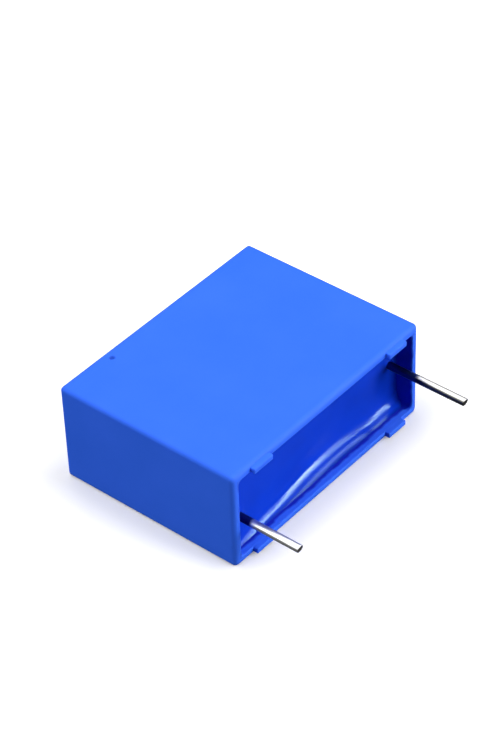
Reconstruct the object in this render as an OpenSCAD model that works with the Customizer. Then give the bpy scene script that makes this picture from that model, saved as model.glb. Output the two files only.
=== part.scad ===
// Box-type film capacitor: a moulded case, open at one end, that holds a pressed film roll
// with sprayed end contacts and two wire leads, potted in resin.
// It lies on a broad face: X runs from lead to lead, the leads point to -Y, Z is up.
// The origin is the centre of the broad face that it lies on.

/* [Case] */
// Distance between the axes of the two leads
lead_pitch = 22.5; // [15:0.5:37.5]
// From a lead's axis to the outside of the nearer short side
end_margin = 2; // [1.8:0.1:3]
// Thickness of the case between its two broad faces
case_t = 10.5; // [8.5:0.5:18]
// Height of the case from its rim to its closed end
case_h = 20; // [17:0.5:32]
// Wall of the four sides
wall_t = 0.8; // [0.6:0.05:1.1]
// Wall of the closed end
end_t = 0.9; // [0.6:0.05:1.6]
// Rounding of the outer edges
edge_r = 0.4; // [0.2:0.05:0.8]
// Rounding of the outer edge along the rim
rim_r = 0.3; // [0.1:0.05:0.5]
// Rounding of the inside corners that run down from the rim
corner_r = 0.5; // [0.2:0.05:1]

/* [Standoff feet] */
// Length of a foot along the rim
foot_l = 2.5; // [1:0.1:4]
// How far a foot stands proud of the rim
foot_h = 0.5; // [0.3:0.1:1.5]
// How far a foot's outer side lies behind the broad face
foot_setback = 0.25; // [0.1:0.05:0.4]
// From the outside of a short side to the nearer end of a foot
foot_inset = 2.4; // [1.5:0.1:5]

/* [Potting] */
// Depth of the resin below the rim where it is lowest
fill_depth = 2.35; // [1.6:0.05:4]
// Where along X the resin is lowest
sag_x = 3; // [0:0.5:6]
// How much higher the resin stands at the left wall than where it is lowest
sag_h = 1; // [0.2:0.1:1.2]
// How high the resin climbs on the long walls, from where it is lowest
climb_h = 1.3; // [0.3:0.1:1.4]
// How far from the long walls the climb begins
climb_w = 1.5; // [1.4:0.1:2.2]
// How far the arc of the climb runs on under the lowest resin
climb_dip = 0.05; // [0.02:0.01:0.1]

/* [Film roll] */
// Resin between the flat sides of the roll and the long walls
roll_side_gap = 0.55; // [0.3:0.05:1]
// Resin between the roll and the closed end
roll_end_gap = 0.6; // [0.3:0.1:1.5]
// Resin over the roll where the resin is lowest
roll_cover = 1.2; // [0.6:0.1:3]
// Thickness of the sprayed metal on each end of the roll
spray_t = 0.6; // [0.4:0.05:1]

/* [Leads] */
// Diameter of the wire
lead_d = 0.8; // [0.6:0.05:1]
// Offset of each lead from the middle of the pair, one to each side
lead_offset = 0.9; // [0:0.1:2]
// How far the pair lies below the middle of the thickness
lead_drop = 0.15; // [0:0.05:0.5]
// Free length of the left lead beyond the feet
left_free = 5.2; // [3:0.1:25]
// Free length of the right lead beyond the feet
right_free = 6.4; // [3:0.1:25]
// Thickness of the wire where it is pressed flat for the weld
flat_t = 0.5; // [0.4:0.05:0.55]
// Width of the wire where it is pressed flat for the weld
flat_w = 1; // [0.9:0.05:1.3]
// Length of the weld along the sprayed metal
weld_l = 9; // [4:0.5:9]
// Depth of the weld in the sprayed metal
weld_bite = 0.15; // [0.05:0.05:0.2]
// How far the round wire dips into the resin before the flat begins
root_dip = 0.06; // [0.05:0.01:0.1]

/* [Hidden] */
$fn = 48;

LEFT = -1;
RIGHT = 1;
overshoot = 1;

case_l = lead_pitch + 2 * end_margin;
cavity_l = case_l - 2 * wall_t;
cavity_t = case_t - 2 * wall_t;
mid_z = case_t / 2;

rim_y = -case_h / 2;
feet_y = rim_y - foot_h;
foot_root_y = rim_y + edge_r;
floor_y = case_h / 2 - end_t;
level_y = rim_y + fill_depth;
contact_y = level_y - climb_h;
climb_foot_y = level_y + climb_dip;
climb_rise = climb_h + climb_dip;
climb_r = (climb_w * climb_w + climb_rise * climb_rise) / (2 * climb_rise);
sag_run = cavity_l / 2 + sag_x;
sag_r = (sag_run * sag_run + sag_h * sag_h) / (2 * sag_h);

roll_t = cavity_t - 2 * roll_side_gap;
roll_top_y = level_y + roll_cover;
roll_h = floor_y - roll_end_gap - roll_top_y;

lead_x = lead_pitch / 2;
weld_x = lead_x - lead_d / 2;
spray_x = weld_x + weld_bite;
roll_l = 2 * (spray_x - spray_t);

// How far the resin stands above its lowest place at some place along X
function sag_at(x) = sag_r - sqrt(sag_r * sag_r - (x - sag_x) * (x - sag_x));

// Where the flat of the lead on one side begins, a little under the resin
function flat_y(side) = level_y - sag_at(side * lead_x) + root_dip;

plastic = [0.15, 0.36, 0.9];
resin = [0.08, 0.22, 0.76];
film = [0.78, 0.78, 0.74];
zinc = [0.56, 0.57, 0.6];
tin = [0.82, 0.82, 0.8];

// A flat outline extruded along Y between two places, its own y taken as Z
module along_y(y_from, y_to) {
    translate([0, y_to, 0]) rotate([90, 0, 0]) linear_extrude(y_to - y_from) children();
}

// A flat outline extruded along X between two places, its own x and y taken as Y and Z
module along_x(x_from, x_to) {
    translate([x_from, 0, 0]) rotate([90, 0, 90]) linear_extrude(x_to - x_from) children();
}

// Rectangle about the origin, its two low-x corners and two high-x corners rounded by their own radius
module soft_rect(w, h, r_low, r_high) {
    low = w / 2 - r_low;
    high = w / 2 - r_high;
    translate([-low, -h / 2]) square([low + high, h]);
    translate([-w / 2, -h / 2 + r_low]) square([w / 2, h - 2 * r_low]);
    translate([0, -h / 2 + r_high]) square([w / 2, h - 2 * r_high]);
    for (side = [-1, 1]) {
        translate([-low, side * (h / 2 - r_low)]) circle(r_low);
        translate([high, side * (h / 2 - r_high)]) circle(r_high);
    }
}

// The block that the case is moulded as, every outer edge rounded
module outer_block() {
    intersection() {
        along_y(rim_y, -rim_y) soft_rect(case_l, case_t, edge_r, edge_r);
        along_x(-case_l / 2, case_l / 2) soft_rect(case_h, case_t, rim_r, edge_r);
        linear_extrude(case_t, center = true) rotate(90) soft_rect(case_h, case_l, rim_r, edge_r);
    }
}

// The space inside the four walls between two places along Y
module cavity(y_from, y_to) {
    along_y(y_from, y_to) soft_rect(cavity_l, cavity_t, corner_r, corner_r);
}

// Four feet, two on the rim of each long wall, to keep the resin off the board
module feet() {
    foot_x = case_l / 2 - foot_inset - foot_l / 2;
    foot_w = wall_t - foot_setback;
    foot_z = (cavity_t + foot_w) / 2;
    for (side = [-1, 1], face = [-1, 1])
        translate([side * foot_x, (feet_y + foot_root_y) / 2, face * foot_z])
            cube([foot_l, foot_root_y - feet_y, foot_w], center = true);
}

// Section of the space over the resin, across its thickness: between the climbs, and all above them
module open_section() {
    from_y = rim_y - overshoot;
    open_t = cavity_t + 2 * overshoot;
    mid_t = cavity_t - 2 * climb_w;
    translate([from_y, -open_t / 2]) square([contact_y - from_y, open_t]);
    translate([from_y, -mid_t / 2]) square([climb_foot_y - from_y, mid_t]);
    for (side = [-1, 1])
        translate([climb_foot_y - climb_r, side * mid_t / 2]) circle(climb_r);
}

// The space over the resin: it sags in a long arc from wall to wall and climbs on both long walls
module open_space() {
    intersection() {
        along_x(-case_l / 2, case_l / 2) open_section();
        translate([sag_x, level_y - sag_r, 0]) cylinder(r = sag_r, h = case_t, center = true, $fn = 720);
    }
}

// Outline of the pressed roll, flat sides with round ends, shared by the sprayed metal on its ends
module roll_section() {
    across = min(roll_h, roll_t);
    straight = max(roll_h, roll_t) - across;
    translate([roll_top_y + roll_h / 2, 0]) rotate(roll_h < roll_t ? 90 : 0) {
        square([straight, across], center = true);
        for (side = [-1, 1])
            translate([side * straight / 2, 0]) circle(d = across, $fn = 96);
    }
}

// A lead on one side: pressed flat in the resin and along the weld, round from there to its cut end
module wire(side, free) {
    lead_z = side * lead_offset - lead_drop;
    flat_x = weld_x + flat_t / 2;
    flat_from = flat_y(side);
    flat_end = roll_top_y + weld_l;
    translate([side * flat_x - flat_t / 2, flat_from, lead_z - flat_w / 2])
        cube([flat_t, flat_end - flat_from, flat_w]);
    translate([side * lead_x, flat_from, lead_z])
        rotate([90, 0, 0]) cylinder(d = lead_d, h = flat_from - feet_y + free);
}

// Both leads, to cut the seats that they lie in
module wires() {
    wire(LEFT, left_free);
    wire(RIGHT, right_free);
}

// The roll with the metal on both ends
module roll_pack() {
    along_x(-spray_x, spray_x) roll_section();
}

module case() {
    color(plastic) translate([0, 0, mid_z]) difference() {
        union() {
            outer_block();
            feet();
        }
        cavity(feet_y - overshoot, floor_y);
    }
}

module potting() {
    color(resin) translate([0, 0, mid_z]) difference() {
        cavity(rim_y, floor_y);
        open_space();
        roll_pack();
        wires();
    }
}

module film_winding() {
    color(film) translate([0, 0, mid_z]) along_x(-roll_l / 2, roll_l / 2) roll_section();
}

// Sprayed metal on one end of the roll, with the lead's weld pressed in its outer face
module end_spray(side) {
    color(zinc) translate([0, 0, mid_z]) difference() {
        if (side == LEFT) along_x(-spray_x, -roll_l / 2) roll_section();
        else along_x(roll_l / 2, spray_x) roll_section();
        wires();
    }
}

module end_spray_left() {
    end_spray(LEFT);
}

module end_spray_right() {
    end_spray(RIGHT);
}

module lead_left() {
    color(tin) translate([0, 0, mid_z]) wire(LEFT, left_free);
}

module lead_right() {
    color(tin) translate([0, 0, mid_z]) wire(RIGHT, right_free);
}

case();
potting();
film_winding();
end_spray_left();
end_spray_right();
lead_left();
lead_right();
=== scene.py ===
"""Box-type film capacitor: refined meshes, materials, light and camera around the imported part.

Lengths in this script are millimetres in the part's frame, and become metres when a mesh is made.
Only the floor's size, the lamps' distance and the camera's clipping are given in metres.
Meshes are built about the middle of the case's thickness and raised by half of it.
"""
import math

import bpy
import numpy as np
from mathutils import Matrix, Vector

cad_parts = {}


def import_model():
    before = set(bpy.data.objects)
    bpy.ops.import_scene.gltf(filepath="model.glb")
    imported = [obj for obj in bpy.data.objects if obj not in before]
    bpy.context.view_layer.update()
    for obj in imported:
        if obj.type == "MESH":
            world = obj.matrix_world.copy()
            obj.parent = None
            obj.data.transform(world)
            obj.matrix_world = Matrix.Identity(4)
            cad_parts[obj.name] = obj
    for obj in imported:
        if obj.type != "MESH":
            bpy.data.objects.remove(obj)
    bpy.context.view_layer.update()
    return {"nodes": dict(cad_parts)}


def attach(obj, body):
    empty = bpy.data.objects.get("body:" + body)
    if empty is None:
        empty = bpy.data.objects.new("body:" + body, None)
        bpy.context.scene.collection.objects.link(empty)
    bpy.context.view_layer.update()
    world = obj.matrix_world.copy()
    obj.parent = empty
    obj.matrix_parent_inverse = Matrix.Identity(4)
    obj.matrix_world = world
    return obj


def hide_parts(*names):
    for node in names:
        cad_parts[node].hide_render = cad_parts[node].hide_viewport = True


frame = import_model()
MM = 0.001

# Sizes, as in the part's source
HALF_L, HALF_T, HALF_H = 13.25, 5.25, 10.0
WALL, END_WALL, EDGE_R, CORNER_R = 0.8, 0.9, 0.4, 0.5
CAVITY_L, CAVITY_T, FLOOR_Y = HALF_L - WALL, HALF_T - WALL, HALF_H - END_WALL
FOOT_L, FOOT_H, FOOT_SETBACK, FOOT_INSET = 2.5, 0.5, 0.25, 2.4
RIM_Y, FEET_Y = -HALF_H, -HALF_H - FOOT_H
FILL_DEPTH, SAG_X, SAG_H = 2.35, 3.0, 1.0
SAG_RUN = CAVITY_L + SAG_X
SAG_R = (SAG_RUN ** 2 + SAG_H ** 2) / (2 * SAG_H)
LEAD_X, LEAD_OFFSET, LEAD_DROP, LEAD_R = 11.25, 0.9, 0.15, 0.4
ROLL_COVER, WELD_L = 1.2, 9.0
FLAT_T, FLAT_W, ROOT_DIP = 0.5, 1.0, 0.06
FLAT_END = RIM_Y + FILL_DEPTH + ROLL_COVER + WELD_L
LEFT_FREE, RIGHT_FREE = 5.2, 6.4

# Sizes of what only the scene has: a rounder rim, a small pit in the upper face, sunken outer faces
RIM_R, RIM_INNER_R = 0.45, 0.1
PIT_X, PIT_Y, PIT_DEPTH = -7.3, 8.98, 0.25
PIT_L, PIT_W, PIT_COS, PIT_SIN, PIT_STEEP = 0.23, 0.19, 0.9, 0.44, 1.6
SINK_BROAD, SINK_SHORT = 0.03, 0.02

# Steps in a rounded edge, and the angle from which an edge is drawn sharp
TURN = np.linspace(0, math.pi / 2, 7)
SHARP_ANGLE = math.radians(50)


# Mesh building

def spread(low, high, step, fine=()):
    """Places from low to high about a step apart, with another step in each (from, to, step) stretch."""
    cuts = [(low, high, step)]
    for a, b, fine_step in fine:
        parted = []
        for lo, hi, st in cuts:
            if hi <= a or lo >= b:
                parted.append((lo, hi, st))
            else:
                mid_lo, mid_hi = max(a, lo), min(b, hi)
                parted += [(lo, mid_lo, st), (mid_lo, mid_hi, fine_step), (mid_hi, hi, st)]
        cuts = [c for c in parted if c[1] - c[0] > 1e-9]
    out = []
    for lo, hi, st in cuts:
        out += list(np.linspace(lo, hi, max(1, round((hi - lo) / st)) + 1)[:-1])
    return np.array(out + [high])


def ends(low, high, support):
    """Stretches for spread that put one place close to each end, so that flat faces shade flat."""
    return [(low, low + support, support), (high - support, high, support)]


def rounded_loop(hx, hz, r, across, up, steps=6):
    """Outline of a rounded rectangle in X and Z.

    across and up place points on its straight sides, from -1 to 1.
    """
    sx, sz = hx - r, hz - r
    arc = np.linspace(0, math.pi / 2, steps + 1)[1:-1]
    pts = [(a * sx, -hz) for a in across]
    pts += [(sx + r * math.sin(t), -sz - r * math.cos(t)) for t in arc]
    pts += [(hx, b * sz) for b in up]
    pts += [(sx + r * math.cos(t), sz + r * math.sin(t)) for t in arc]
    pts += [(a * sx, hz) for a in across[::-1]]
    pts += [(-sx - r * math.sin(t), sz + r * math.cos(t)) for t in arc]
    pts += [(-hx, b * sz) for b in up[::-1]]
    pts += [(-sx - r * math.cos(t), -sz - r * math.sin(t)) for t in arc]
    return np.array(pts)


def ring(outline, y, x=0.0, z=0.0):
    """An outline in X and Z as points at one place along Y."""
    return np.column_stack([outline[:, 0] + x, np.full(len(outline), y), outline[:, 1] + z])


def outward(verts, faces):
    """The faces of a closed shell, wound so that they look out of it."""
    volume = 0.0
    for f in faces:
        p = verts[list(f)]
        volume += (np.cross(p[1:-1], p[2:]) @ p[0]).sum()
    return faces if volume > 0 else [f[::-1] for f in faces]


def loft(rings):
    """A closed shell through rings of equal length, with a flat cap on both ends."""
    n = len(rings[0])
    last = (len(rings) - 1) * n
    verts = np.concatenate(rings)
    faces = []
    for a in range(0, last, n):
        for i in range(n):
            j = (i + 1) % n
            faces.append((a + i, a + j, a + n + j, a + n + i))
    faces += [tuple(reversed(range(n))), tuple(range(last, last + n))]
    return verts, outward(verts, faces)


def piece(name, shells, material, node):
    """A smooth mesh of closed shells on the part's one body, in place of a node of the part."""
    verts, faces = [], []
    for v, f in shells:
        base = sum(len(w) for w in verts)
        verts.append(v)
        faces += [tuple(i + base for i in one) for one in f]
    mesh = bpy.data.meshes.new(name)
    mesh.from_pydata(((np.concatenate(verts) + (0, 0, HALF_T)) * MM).tolist(), [], faces)
    mesh.polygons.foreach_set("use_smooth", [True] * len(mesh.polygons))
    mesh.set_sharp_from_angle(angle=SHARP_ANGLE)
    mesh.materials.append(material)
    obj = bpy.data.objects.new(name, mesh)
    bpy.context.scene.collection.objects.link(obj)
    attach(obj, "root")
    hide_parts(node)


# Shader nodes

def node(tree, kind, inputs=None, **props):
    """A shader node with its properties and inputs set. An input is a value or another node's output."""
    n = tree.nodes.new("ShaderNode" + kind)
    for key, value in props.items():
        setattr(n, key, value)
    for key, value in (inputs or {}).items():
        if isinstance(value, bpy.types.NodeSocket):
            tree.links.new(value, n.inputs[key])
        else:
            n.inputs[key].default_value = value
    return n


def calc(tree, operation, *values):
    """A calculation on numbers."""
    return node(tree, "Math", dict(enumerate(values)), operation=operation).outputs[0]


def vector_calc(tree, operation, *values):
    """A calculation on vectors, which gives a number or a vector."""
    gives = "Value" if operation in ("DISTANCE", "DOT_PRODUCT", "LENGTH") else "Vector"
    return node(tree, "VectorMath", dict(enumerate(values)), operation=operation).outputs[gives]


def own_place(tree):
    """The place on the object in its own coordinates."""
    return node(tree, "TexCoord").outputs["Object"]


def place(tree):
    """The place along X and along Y, and the distance from the middle of the thickness."""
    at = node(tree, "SeparateXYZ", {0: own_place(tree)}).outputs
    return at["X"], at["Y"], calc(tree, "ABSOLUTE", calc(tree, "SUBTRACT", at["Z"], HALF_T * MM))


def noise(tree, scale, detail, stretch=(1, 1, 1), rough=0.5):
    """Noise over the object's own place, its features about 1 / scale metres across."""
    moved = node(tree, "Mapping", {"Vector": own_place(tree), "Scale": stretch}).outputs["Vector"]
    inputs = {"Vector": moved, "Scale": scale, "Detail": detail, "Roughness": rough}
    return node(tree, "TexNoise", inputs).outputs[0]


def between(tree, fac, low, high, a=0.3, b=0.7):
    """A number that goes from low to high as fac goes from a to b, by default the spread of noise."""
    inputs = {"Value": fac, "From Min": a, "From Max": b, "To Min": low, "To Max": high}
    return node(tree, "MapRange", inputs).outputs["Result"]


def ramp(tree, at, low, high, start, end):
    """A number that goes from low to high between two places in millimetres."""
    return between(tree, at, low, high, start * MM, end * MM)


def choose(tree, switch, off, on):
    """One number where the switch is 0, and another where it is 1."""
    return between(tree, switch, off, on, 0, 1)


def tint(tree, fac, low, high):
    """A colour that goes from low to high by fac."""
    n = node(tree, "Mix", {"Factor": fac}, data_type="RGBA")
    first, second, result = 6, 7, 2
    for socket, colour in ((n.inputs[first], low), (n.inputs[second], high)):
        if isinstance(colour, bpy.types.NodeSocket):
            tree.links.new(colour, socket)
        else:
            socket.default_value = (*colour, 1)
    return n.outputs[result]


def principled(name, **values):
    """A new material, its tree and its shader, with constant values on the shader's own sockets."""
    m = bpy.data.materials.new(name)
    m.use_nodes = True
    shader = m.node_tree.nodes["Principled BSDF"]
    for key, value in values.items():
        shader.inputs[key.replace("_", " ")].default_value = value
    return m, m.node_tree, shader


def finish(tree, shader, colour, rough, height, depth, strength):
    """Links the colour, the roughness and a relief of some depth in millimetres to the shader."""
    tree.links.new(colour, shader.inputs["Base Color"])
    tree.links.new(rough, shader.inputs["Roughness"])
    bump = node(tree, "Bump", {"Height": height, "Distance": depth * MM, "Strength": strength})
    tree.links.new(bump.outputs["Normal"], shader.inputs["Normal"])


# Materials

def case_plastic():
    """Satin plastic, with painted shade on the inside of the walls, and darker about a point in the small
    pit.
    """
    darker, lighter = (0.030, 0.149, 0.95), (0.036, 0.159, 1.0)
    # the first of these colours is painted shade for the inside of the walls, the second darkens the pit
    cavity_shade_colour, pit_dark_colour = (0.003, 0.019, 0.52), (0.004, 0.03, 0.17)
    m, t, s = principled("case_plastic", Specular_IOR_Level=0.14)
    cloud, grain = between(t, noise(t, scale=160, detail=3), 0, 1), noise(t, scale=9000, detail=3)
    colour = tint(t, cloud, darker, lighter)
    # the inside, told from the outside within the thickness of the walls
    skin = 0.1
    x, y, off_mid = place(t)
    off_centre = calc(t, "ABSOLUTE", x)
    inside = calc(t, "LESS_THAN", off_centre, (CAVITY_L + 2 * skin) * MM)
    inside = ramp(t, off_mid, inside, 0, CAVITY_T + skin, CAVITY_T + 2 * skin)
    inside = ramp(t, y, inside, 0, FLOOR_Y + 2 * skin, FLOOR_Y + 3 * skin)
    # painted shade darkens the inside up to a wavy line below the rim, which lies nearer to the rim on the
    # short walls
    shade_none, shade_full, wave, short_rise = 0.6, 0.85, 0.2, 0.5
    rise = ramp(t, off_centre, 0, short_rise * MM, CAVITY_L - 0.6, CAVITY_L - 0.1)
    line = calc(t, "ADD", rise, y)
    line = calc(t, "ADD", between(t, noise(t, scale=900, detail=1), 0, wave * MM), line)
    cavity_shade = ramp(t, line, 0, inside, RIM_Y + shade_none, RIM_Y + shade_full)
    colour = tint(t, cavity_shade, colour, cavity_shade_colour)
    # the pit is darker about a point in it
    pit_dark, dark_full, dark_none, dark_depth = 0.52, 0.15, 0.42, 0.15
    middle = (PIT_X * MM, PIT_Y * MM, (2 * HALF_T - dark_depth) * MM)
    off_pit = vector_calc(t, "DISTANCE", own_place(t), middle)
    colour = tint(t, ramp(t, off_pit, pit_dark, 0, dark_full, dark_none), colour, pit_dark_colour)
    rough = between(t, grain, 0.62, 0.74)
    finish(t, s, colour, rough, grain, depth=0.01, strength=0.2)
    return m


def resin():
    """Glossy resin with duller stretches, and painted shade at its edges on the long walls, where it meets
    them.
    """
    darker, lighter, crease_shade_colour = (0.003, 0.040, 0.58), (0.004, 0.048, 0.66), (0.001, 0.006, 0.15)
    m, t, s = principled("resin", Specular_IOR_Level=0.13, Specular_Tint=(0.5, 0.93, 1, 1))
    cloud, swirl = between(t, noise(t, scale=220, detail=3), 0, 1), noise(t, scale=700, detail=2)
    x, _, off_mid = place(t)
    # painted shade along the crease where the resin meets the long walls
    crease_shade_share = 0.4
    crease_shade = ramp(t, off_mid, 0, crease_shade_share, CAVITY_T - 0.15, CAVITY_T - 0.04)
    colour = tint(t, crease_shade, tint(t, cloud, darker, lighter), crease_shade_colour)
    # duller at the left end and right of the middle, less so further right
    # and in the thin run along the long walls
    dullest, dull_right, dull_wall = 0.115, 0.05, 0.02
    left_end, past_middle, far_right = (-10.2, -9.2), (0, 2.5), (3.5, 5.5)
    dull = ramp(t, x, dullest, 0, *left_end)
    dull = ramp(t, x, dull, dullest, *past_middle)
    dull = ramp(t, x, dull, dull_right, *far_right)
    dull = ramp(t, off_mid, dull, dull_wall, CAVITY_T - 0.45, CAVITY_T - 0.3)
    rough = calc(t, "ADD", dull, between(t, swirl, 0.11, 0.15))
    finish(t, s, colour, rough, swirl, depth=0.03, strength=0.04)
    return m


def tinned_wire():
    """Drawn wire with dull cut ends and painted shade on its root.

    The right one has painted shade and dark reflection on its lower left side.
    """
    darker, lighter, cut_colour = (0.62, 0.62, 0.61), (0.76, 0.76, 0.75), (0.26, 0.25, 0.24)
    # the first two colours are painted shade and dark reflection on one side, the last is painted shade on
    # the root
    side_shade_out, side_shade_root, root_shade_colour = (0.10, 0.10, 0.085), (0.012, 0.02, 0.04), (0.015, 0.03, 0.12)
    m, t, s = principled("tinned_wire", Metallic=1.0)
    drawn = noise(t, scale=5000, detail=4, stretch=(1, 0.03, 1), rough=0.6)
    blotch = between(t, noise(t, scale=900, detail=3), 0, 1)
    normal = node(t, "NewGeometry").outputs["Normal"]
    cut = between(t, node(t, "SeparateXYZ", {0: normal}).outputs["Y"], 0, 1, -0.6, -0.9)
    colour = tint(t, cut, tint(t, blotch, darker, lighter), cut_colour)
    # painted shade and dark reflection lie along the lower left side, darkest near the root
    lower_left = (-0.74, 0, -0.67)
    x, y, _ = place(t)
    right = calc(t, "GREATER_THAN", x, 0)
    aside = vector_calc(t, "DOT_PRODUCT", normal, lower_left)
    near_root = ramp(t, y, 0, 1, RIM_Y - 3.1, RIM_Y - 2.0)
    side_shade = tint(t, near_root, side_shade_out, side_shade_root)
    colour = tint(t, between(t, aside, 0, right, -0.25, 0.1), colour, side_shade)
    # painted shade darkens the root up to a wavy line, further out on the right one
    right_further, wave = 1.1, 0.15
    root = calc(t, "ADD", choose(t, right, 0, right_further * MM), y)
    root = calc(t, "ADD", between(t, blotch, 0, wave * MM), root)
    root_shaded = ramp(t, root, 0, 1, RIM_Y - 0.45, RIM_Y - 0.2)
    colour = tint(t, root_shaded, colour, root_shade_colour)
    rough = between(t, drawn, 0.26, 0.38)
    finish(t, s, colour, rough, drawn, depth=0.01, strength=0.3)
    return m


def film():
    """Metallised film, its turns as fine lines along the roll."""
    m, t, s = principled("film", Metallic=0.6)
    darker, lighter = (0.55, 0.55, 0.50), (0.78, 0.78, 0.73)
    turns = noise(t, scale=12000, detail=2, stretch=(0.02, 1, 1))
    colour = tint(t, between(t, turns, 0, 1), darker, lighter)
    rough = between(t, turns, 0.22, 0.40)
    finish(t, s, colour, rough, turns, depth=0.02, strength=0.4)
    return m


def sprayed_zinc():
    """Gritty sprayed metal."""
    m, t, s = principled("sprayed_zinc", Metallic=0.9)
    darker, lighter = (0.26, 0.27, 0.29), (0.50, 0.51, 0.54)
    grit = noise(t, scale=5000, detail=5, rough=0.7)
    colour = tint(t, between(t, grit, 0, 1), darker, lighter)
    rough = between(t, grit, 0.85, 0.60)
    finish(t, s, colour, rough, grit, depth=0.06, strength=0.9)
    return m


# The case

def case_shell():
    """One shell from the inside floor up the walls, over the rim and along the outside to the closed end."""
    support, least_r, broad_step, long_step = 0.1, 0.01, 0.9, 1.0
    pit_reach_x, pit_reach_y, pit_step = 0.6, 0.5, 0.05
    sx, sz = HALF_L - EDGE_R, HALF_T - EDGE_R
    pit_x = (PIT_X - pit_reach_x, PIT_X + pit_reach_x, pit_step)
    pit_y = (PIT_Y - pit_reach_y, PIT_Y + pit_reach_y, pit_step)
    across = spread(-sx, sx, broad_step, [pit_x, *ends(-sx, sx, support)]) / sx
    up = spread(-sz, sz, broad_step, ends(-sz, sz, support)) / sz

    def outline(inset, y, r):
        return ring(rounded_loop(HALF_L - inset, HALF_T - inset, r, across, up), y)

    inner_ys = (FLOOR_Y, 0, -6, -9, RIM_Y + RIM_INNER_R + support)
    rings = [outline(WALL, y, CORNER_R) for y in inner_ys]
    for a in TURN:
        inset = WALL - RIM_INNER_R * (1 - math.cos(a))
        rings.append(outline(inset, RIM_Y + RIM_INNER_R * (1 - math.sin(a)), CORNER_R))
    for a in TURN:
        inset = RIM_R * (1 - math.sin(a))
        rings.append(outline(inset, RIM_Y + RIM_R * (1 - math.cos(a)), EDGE_R))
    start, end = RIM_Y + RIM_R, HALF_H - EDGE_R
    for y in spread(start, end, long_step, [pit_y, *ends(start, end, support)])[1:]:
        rings.append(dimple(outline(0, y, EDGE_R)))
    for a in TURN[1:]:
        inset = EDGE_R * (1 - math.cos(a))
        rings.append(outline(inset, end + EDGE_R * math.sin(a), max(EDGE_R - inset, least_r)))
    rings += [outline(EDGE_R + inset, HALF_H, least_r) for inset in (support, 1.0)]
    return loft(rings)


def dimple(p):
    """The outer faces sink a little, as moulded walls do, and the upper broad face has a small pit."""
    x, y, z = p.T.copy()
    halves = ((x, HALF_L), (y, HALF_H), (z, HALF_T))
    bow_x, bow_y, bow_z = ((1 - (at / half) ** 2) ** 2 for at, half in halves)
    u, v = x - PIT_X, y - PIT_Y
    off_pit = ((PIT_COS * u - PIT_SIN * v) / PIT_L) ** 2 + ((PIT_SIN * u + PIT_COS * v) / PIT_W) ** 2
    broad_sink = SINK_BROAD * bow_y * bow_x + PIT_DEPTH * np.exp(-off_pit ** PIT_STEEP)
    short_sink = SINK_SHORT * bow_y * bow_z
    tiny = 1e-6
    top, short = z > HALF_T - tiny, np.abs(x) > HALF_L - tiny
    p[top, 2] -= broad_sink[top]
    p[short, 0] -= (np.sign(x) * short_sink)[short]
    return p


def foot_shell(x, face):
    """A standoff foot on the rim, its end edges eased."""
    gap, ease, support, least_r = 0.01, 0.08, 0.05, 0.005
    width = WALL - FOOT_SETBACK - gap
    z = face * (CAVITY_T + gap + width / 2)
    across, up = np.linspace(-1, 1, 9), np.linspace(-1, 1, 5)

    def outline(inset, y):
        r = max(ease - inset, least_r)
        return ring(rounded_loop(FOOT_L / 2 - inset, width / 2 - inset, r, across, up, steps=3), y, x, z)

    rings = [outline(0, RIM_Y + RIM_R), outline(0, FEET_Y + ease + support)]
    for a in np.linspace(0, math.pi / 2, 4):
        rings.append(outline(ease * (1 - math.cos(a)), FEET_Y + ease * (1 - math.sin(a))))
    return loft(rings)


# The resin

def sagged(x):
    """Depth below the rim of the long arc in which the resin sags from wall to wall."""
    return FILL_DEPTH - SAG_R + np.sqrt(SAG_R ** 2 - (x - SAG_X) ** 2)


def lead_z(side):
    """The place of a lead's axis across the thickness."""
    return side * LEAD_OFFSET - LEAD_DROP


def fade(distance, reach):
    """1 at a wall or a lead, and less with distance from it."""
    return np.exp(-distance.clip(0) / reach)


def resin_depth(x, z):
    """Depth of the resin's surface below the rim: the long arc with slight swells, less what it climbs."""
    hump, hump_x, hump_w = 0.09, -4.6, 2.5
    fall, fall_x, fall_w = 0.09, 0.5, 3
    lift, lift_x, lift_w = 0.07, 5.5, 2.2
    swell = hump * np.exp(-((x - hump_x) / hump_w) ** 2) - fall * np.tanh((x - fall_x) / fall_w)
    swell = swell + lift * np.tanh((x - lift_x) / lift_w) + lift
    ripple, ripple_x, ripple_w, ripple_turn = 0.10, 9.8, 3.2, 0.8
    wave = ripple * np.sin(ripple_turn * (x - ripple_x)) * np.exp(-((x - ripple_x) / ripple_w) ** 2)
    level = sagged(x) - swell + wave
    # it climbs to one depth on the long walls, and a little on the short walls and on the leads
    edge_depth, long_reach = 0.95, 0.5
    left_climb, right_climb, short_reach = 0.35, 0.12, 0.35
    lead_climb, lead_reach = 0.3, 0.3
    long_climb = level - edge_depth
    climb = long_climb * fade(CAVITY_T + z, long_reach) + long_climb * fade(CAVITY_T - z, long_reach)
    climb += np.where(x < 0, left_climb, right_climb) * fade(CAVITY_L - np.abs(x), short_reach)
    for side in (-1, 1):
        off_lead = np.hypot(x - side * LEAD_X, z - lead_z(side)) - LEAD_R
        climb += lead_climb * fade(off_lead, lead_reach)
    # it keeps a least depth below the rim, which it nears smoothly
    least, ease = 0.65, 0.08
    return least + np.logaddexp(0, (level - climb - least) / ease) * ease


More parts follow.
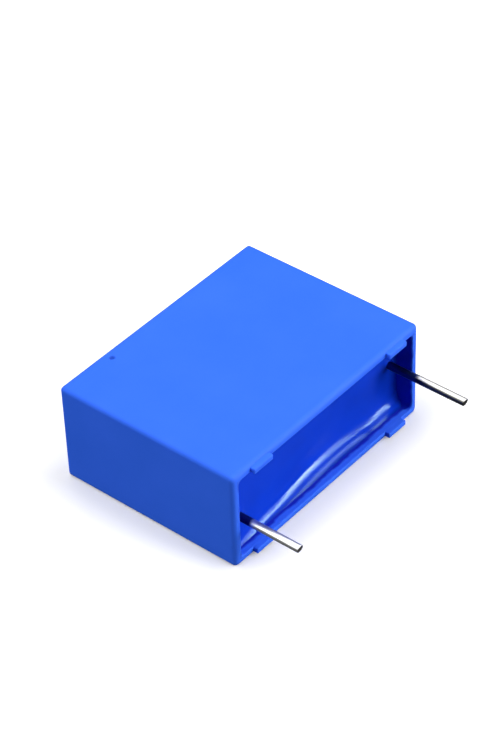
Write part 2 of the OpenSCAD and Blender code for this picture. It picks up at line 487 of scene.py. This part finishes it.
def resin_shell():
    """The resin's surface as a grid, with sides and a bottom in the walls of the case."""
    lap, r = 0.02, CORNER_R
    hx, hz = CAVITY_L + lap, CAVITY_T + lap
    step_x, step_z, fine, finest = 0.07, 0.12, 0.05, 0.02
    # finer by the long walls, where the surface climbs, and finest by the lower one, which shows the streaks
    steep, bent, bent_back = 0.7, 1.6, 1.4
    lower = [(-hz, steep - hz, finest), (steep - hz, bent - hz, fine)]
    xs, zs = spread(-hx, hx, step_x), spread(-hz, hz, step_z, [*lower, (hz - bent_back, hz, fine)])
    x, z = (g.copy() for g in np.meshgrid(xs, zs, indexing="ij"))
    # the four corners of the grid follow the rounded corners of the cavity
    u, w = np.clip((np.abs(x) - hx + r) / r, 0, 1), np.clip((np.abs(z) - hz + r) / r, 0, 1)
    x -= np.sign(x) * r * u * (1 - np.sqrt(1 - w * w / 2))
    z -= np.sign(z) * r * w * (1 - np.sqrt(1 - u * u / 2))
    verts = np.stack([x, RIM_Y + resin_depth(x, z), z], -1).reshape(-1, 3)
    nx, nz = x.shape
    at = np.arange(nx * nz).reshape(nx, nz)
    faces = np.stack([at[:-1, :-1], at[1:, :-1], at[1:, 1:], at[:-1, 1:]], -1).reshape(-1, 4).tolist()
    border = [*at[:-1, 0], *at[-1, :-1], *at[:0:-1, -1], *at[0, :0:-1]]
    low = verts[border].copy()
    low[:, 1] = FLOOR_Y
    n, b = len(verts), len(border)
    verts = np.concatenate([verts, low])
    faces += [(border[(k + 1) % b], border[k], n + k, n + (k + 1) % b) for k in range(b)]
    faces.append(tuple(n + k for k in reversed(range(b))))
    return verts, outward(verts, faces)


# The leads

def lead_shell(side, free, seed):
    """A lead, pressed flat along the weld and round from the resin to its cut end."""
    rng = np.random.RandomState(seed)
    a = np.linspace(0, 2 * math.pi, 40, endpoint=False)
    round_wire = np.column_stack([np.cos(a), np.sin(a)]) * LEAD_R
    flat_wire = round_wire / np.max(np.abs(round_wire), axis=1, keepdims=True) * (FLAT_T / 2, FLAT_W / 2)
    flat_x, tip = FLAT_T / 2 - LEAD_R, FEET_Y - free
    flat_y, press = RIM_Y + sagged(side * LEAD_X) + ROOT_DIP, 0.8
    rings = [ring(flat_wire, y, flat_x) for y in np.linspace(FLAT_END, flat_y + press, 12)]
    for t in np.linspace(0.2, 1, 5):
        rings.append(ring(flat_wire * (1 - t) + round_wire * t, flat_y + press * (1 - t), flat_x * (1 - t)))
    # the drawn wire is a little uneven
    root_gap, tip_gap, uneven = 0.2, 0.25, 0.008
    for y in np.linspace(flat_y - root_gap, tip + tip_gap, 40):
        rings.append(ring(round_wire * (1 - uneven * rng.rand()), y))
    # the cut leans a little, with the burr that cutters leave on its far side:
    # rings as shares of the radius, and how far each lies behind the tip
    lean, burr = 0.07, ((0.995, 0.09), (0.985, 0.04), (0.95, 0.012), (0.88, 0.0), (0.4, 0.02))
    for share, back in burr:
        p = ring(round_wire * share, tip + back)
        p[:, 1] += lean * (1 - p[:, 2] / LEAD_R)
        rings.append(p)
    verts, faces = loft(rings)
    verts[:, 0] = side * (LEAD_X + verts[:, 0])
    verts[:, 2] += lead_z(side)
    return verts, outward(verts, faces)


# Floor, light and camera

def floor(near, far, mirrored, bounced):
    """A plain white floor that keeps a soft shadow.

    It glows a little to the camera, less near the part as a painted shadow about it, and to full white far
    away.
    It shows other levels of itself to mirroring surfaces and to those that it lights.
    """
    half, colour, white = 1.5, 0.8, 1.0
    m = bpy.data.materials.new("floor")
    m.use_nodes = True
    t = m.node_tree
    t.nodes.clear()
    ray = node(t, "LightPath").outputs
    clear = calc(t, "MAXIMUM", ray["Is Glossy Ray"], ray["Is Transmission Ray"])
    level = choose(t, ray["Is Camera Ray"], choose(t, clear, bounced, mirrored), colour)
    past = vector_calc(t, "ABSOLUTE", own_place(t))
    past = vector_calc(t, "SUBTRACT", past, (HALF_L * MM, HALF_H * MM, 0))
    past = vector_calc(t, "LENGTH", vector_calc(t, "MAXIMUM", past, (0, 0, 0)))
    beside, far_away = (0.8, 5), (60, 250)
    # the lower glow beside the part is a painted shadow
    glow = ramp(t, past, near, far, *beside)
    glow = ramp(t, past, glow, white, *far_away)
    light = node(t, "Emission", {"Strength": choose(t, ray["Is Camera Ray"], 0, glow)}).outputs[0]
    lit = node(t, "BsdfDiffuse", {"Color": level}).outputs[0]
    node(t, "OutputMaterial", {"Surface": node(t, "AddShader", {0: lit, 1: light}).outputs[0]})
    mesh = bpy.data.meshes.new("floor")
    corners = [(-half, -half, 0), (half, -half, 0), (half, half, 0), (-half, half, 0)]
    mesh.from_pydata(corners, [], [(0, 1, 2, 3)])
    mesh.materials.append(m)
    o = bpy.data.objects.new("floor", mesh)
    bpy.context.scene.collection.objects.link(o)


def softbox(name, azimuth, elevation, width, height, radiance, lit=True, mirrored=True):
    """An area light that faces the part.

    Azimuth turns from -Y toward +X. Both angles and both sizes are degrees as the part sees them.
    lit and mirrored say whether it lights surfaces and whether they mirror it.
    """
    distance = 0.5
    a, e = math.radians(azimuth), math.radians(elevation)
    way = Vector((math.sin(a) * math.cos(e), -math.cos(a) * math.cos(e), math.sin(e)))
    light = bpy.data.lights.new(name, "AREA")
    light.shape = "RECTANGLE"
    light.size = 2 * distance * math.tan(math.radians(width / 2))
    light.size_y = 2 * distance * math.tan(math.radians(height / 2))
    light.energy = radiance * math.pi * light.size * light.size_y
    o = bpy.data.objects.new(name, light)
    o.location = way * distance
    o.rotation_euler = way.to_track_quat("Z", "Y").to_euler()
    o.visible_diffuse, o.visible_glossy = lit, mirrored
    bpy.context.scene.collection.objects.link(o)


def world(lit, horizon):
    """An even surround that lights at one level.

    Surfaces mirror it from another level at the horizon to a white sky, and the camera sees it white.
    """
    white, sky_from, sky_full = 1.0, 0.1, 0.6
    w = bpy.data.worlds.new("world")
    w.use_nodes = True
    t = w.node_tree
    t.nodes.clear()
    ray = node(t, "LightPath").outputs
    up = node(t, "SeparateXYZ", {0: node(t, "TexCoord").outputs["Generated"]}).outputs["Z"]
    mirrored = between(t, up, horizon, white, sky_from, sky_full)
    level = choose(t, ray["Is Camera Ray"], choose(t, ray["Is Glossy Ray"], lit, mirrored), white)
    back = node(t, "Background", {"Color": (1, 1, 1, 1), "Strength": level}).outputs[0]
    node(t, "OutputWorld", {"Surface": back})
    bpy.context.scene.world = w


def camera():
    """The photo's view, fitted to the edges of the case."""
    focal_px, photo_px, sensor = 2521.9, 750, 36.0
    az, el, roll = -0.8602981, 0.7015702, -0.0372381
    aim, aside, above, distance = Vector((0, -9.8, 0)), -7.0463, 10.0745, 228.3028
    data = bpy.data.cameras.new("camera")
    data.sensor_width = sensor
    data.lens = focal_px / photo_px * sensor
    data.clip_start, data.clip_end = 0.01, 10
    back = Vector((math.sin(az) * math.cos(el), -math.cos(az) * math.cos(el), math.sin(el)))
    right = Vector((0, 0, 1)).cross(back).normalized()
    up = back.cross(right)
    c, s = math.cos(roll), math.sin(roll)
    right, up = c * right + s * up, -s * right + c * up
    eye = right * aside + up * above + back * distance + aim
    o = bpy.data.objects.new("camera", data)
    o.matrix_world = Matrix.Translation(eye * MM) @ Matrix((right, up, back)).transposed().to_4x4()
    bpy.context.scene.collection.objects.link(o)
    bpy.context.scene.camera = o


plastic, wire, zinc = case_plastic(), tinned_wire(), sprayed_zinc()
foot_x = HALF_L - FOOT_INSET - FOOT_L / 2
feet = [foot_shell(side * foot_x, face) for side in (-1, 1) for face in (-1, 1)]
piece("case_shell", [case_shell(), *feet], plastic, "case")
piece("resin_fill", [resin_shell()], resin(), "potting")
piece("wire_left", [lead_shell(-1, LEFT_FREE, seed=3)], wire, "lead_left")
piece("wire_right", [lead_shell(1, RIGHT_FREE, seed=5)], wire, "lead_right")
for name, material in (("film_winding", film()), ("end_spray_left", zinc), ("end_spray_right", zinc)):
    data = frame["nodes"][name].data
    data.materials.clear()
    data.materials.append(material)

floor(near=0.2, far=0.5, mirrored=0.12, bounced=0.15)
world(lit=0.08, horizon=0.2)
softbox("overhead", azimuth=180, elevation=70, width=60, height=60, radiance=1.8)
softbox("left", azimuth=-120, elevation=35, width=50, height=40, radiance=2.5)
softbox("fill", azimuth=14, elevation=28, width=20, height=24, radiance=4.0)
softbox("front_soft", azimuth=35, elevation=25, width=50, height=40, radiance=5.0, mirrored=False)
softbox("front", azimuth=40.4, elevation=20, width=5.2, height=34, radiance=49.0, lit=False)
softbox("front_low", azimuth=40.4, elevation=4, width=5, height=12, radiance=15.0, lit=False)
softbox("upper_right", azimuth=66.6, elevation=50, width=9, height=16, radiance=12.0, lit=False)
camera()
bpy.context.scene.view_settings.view_transform = "Standard"
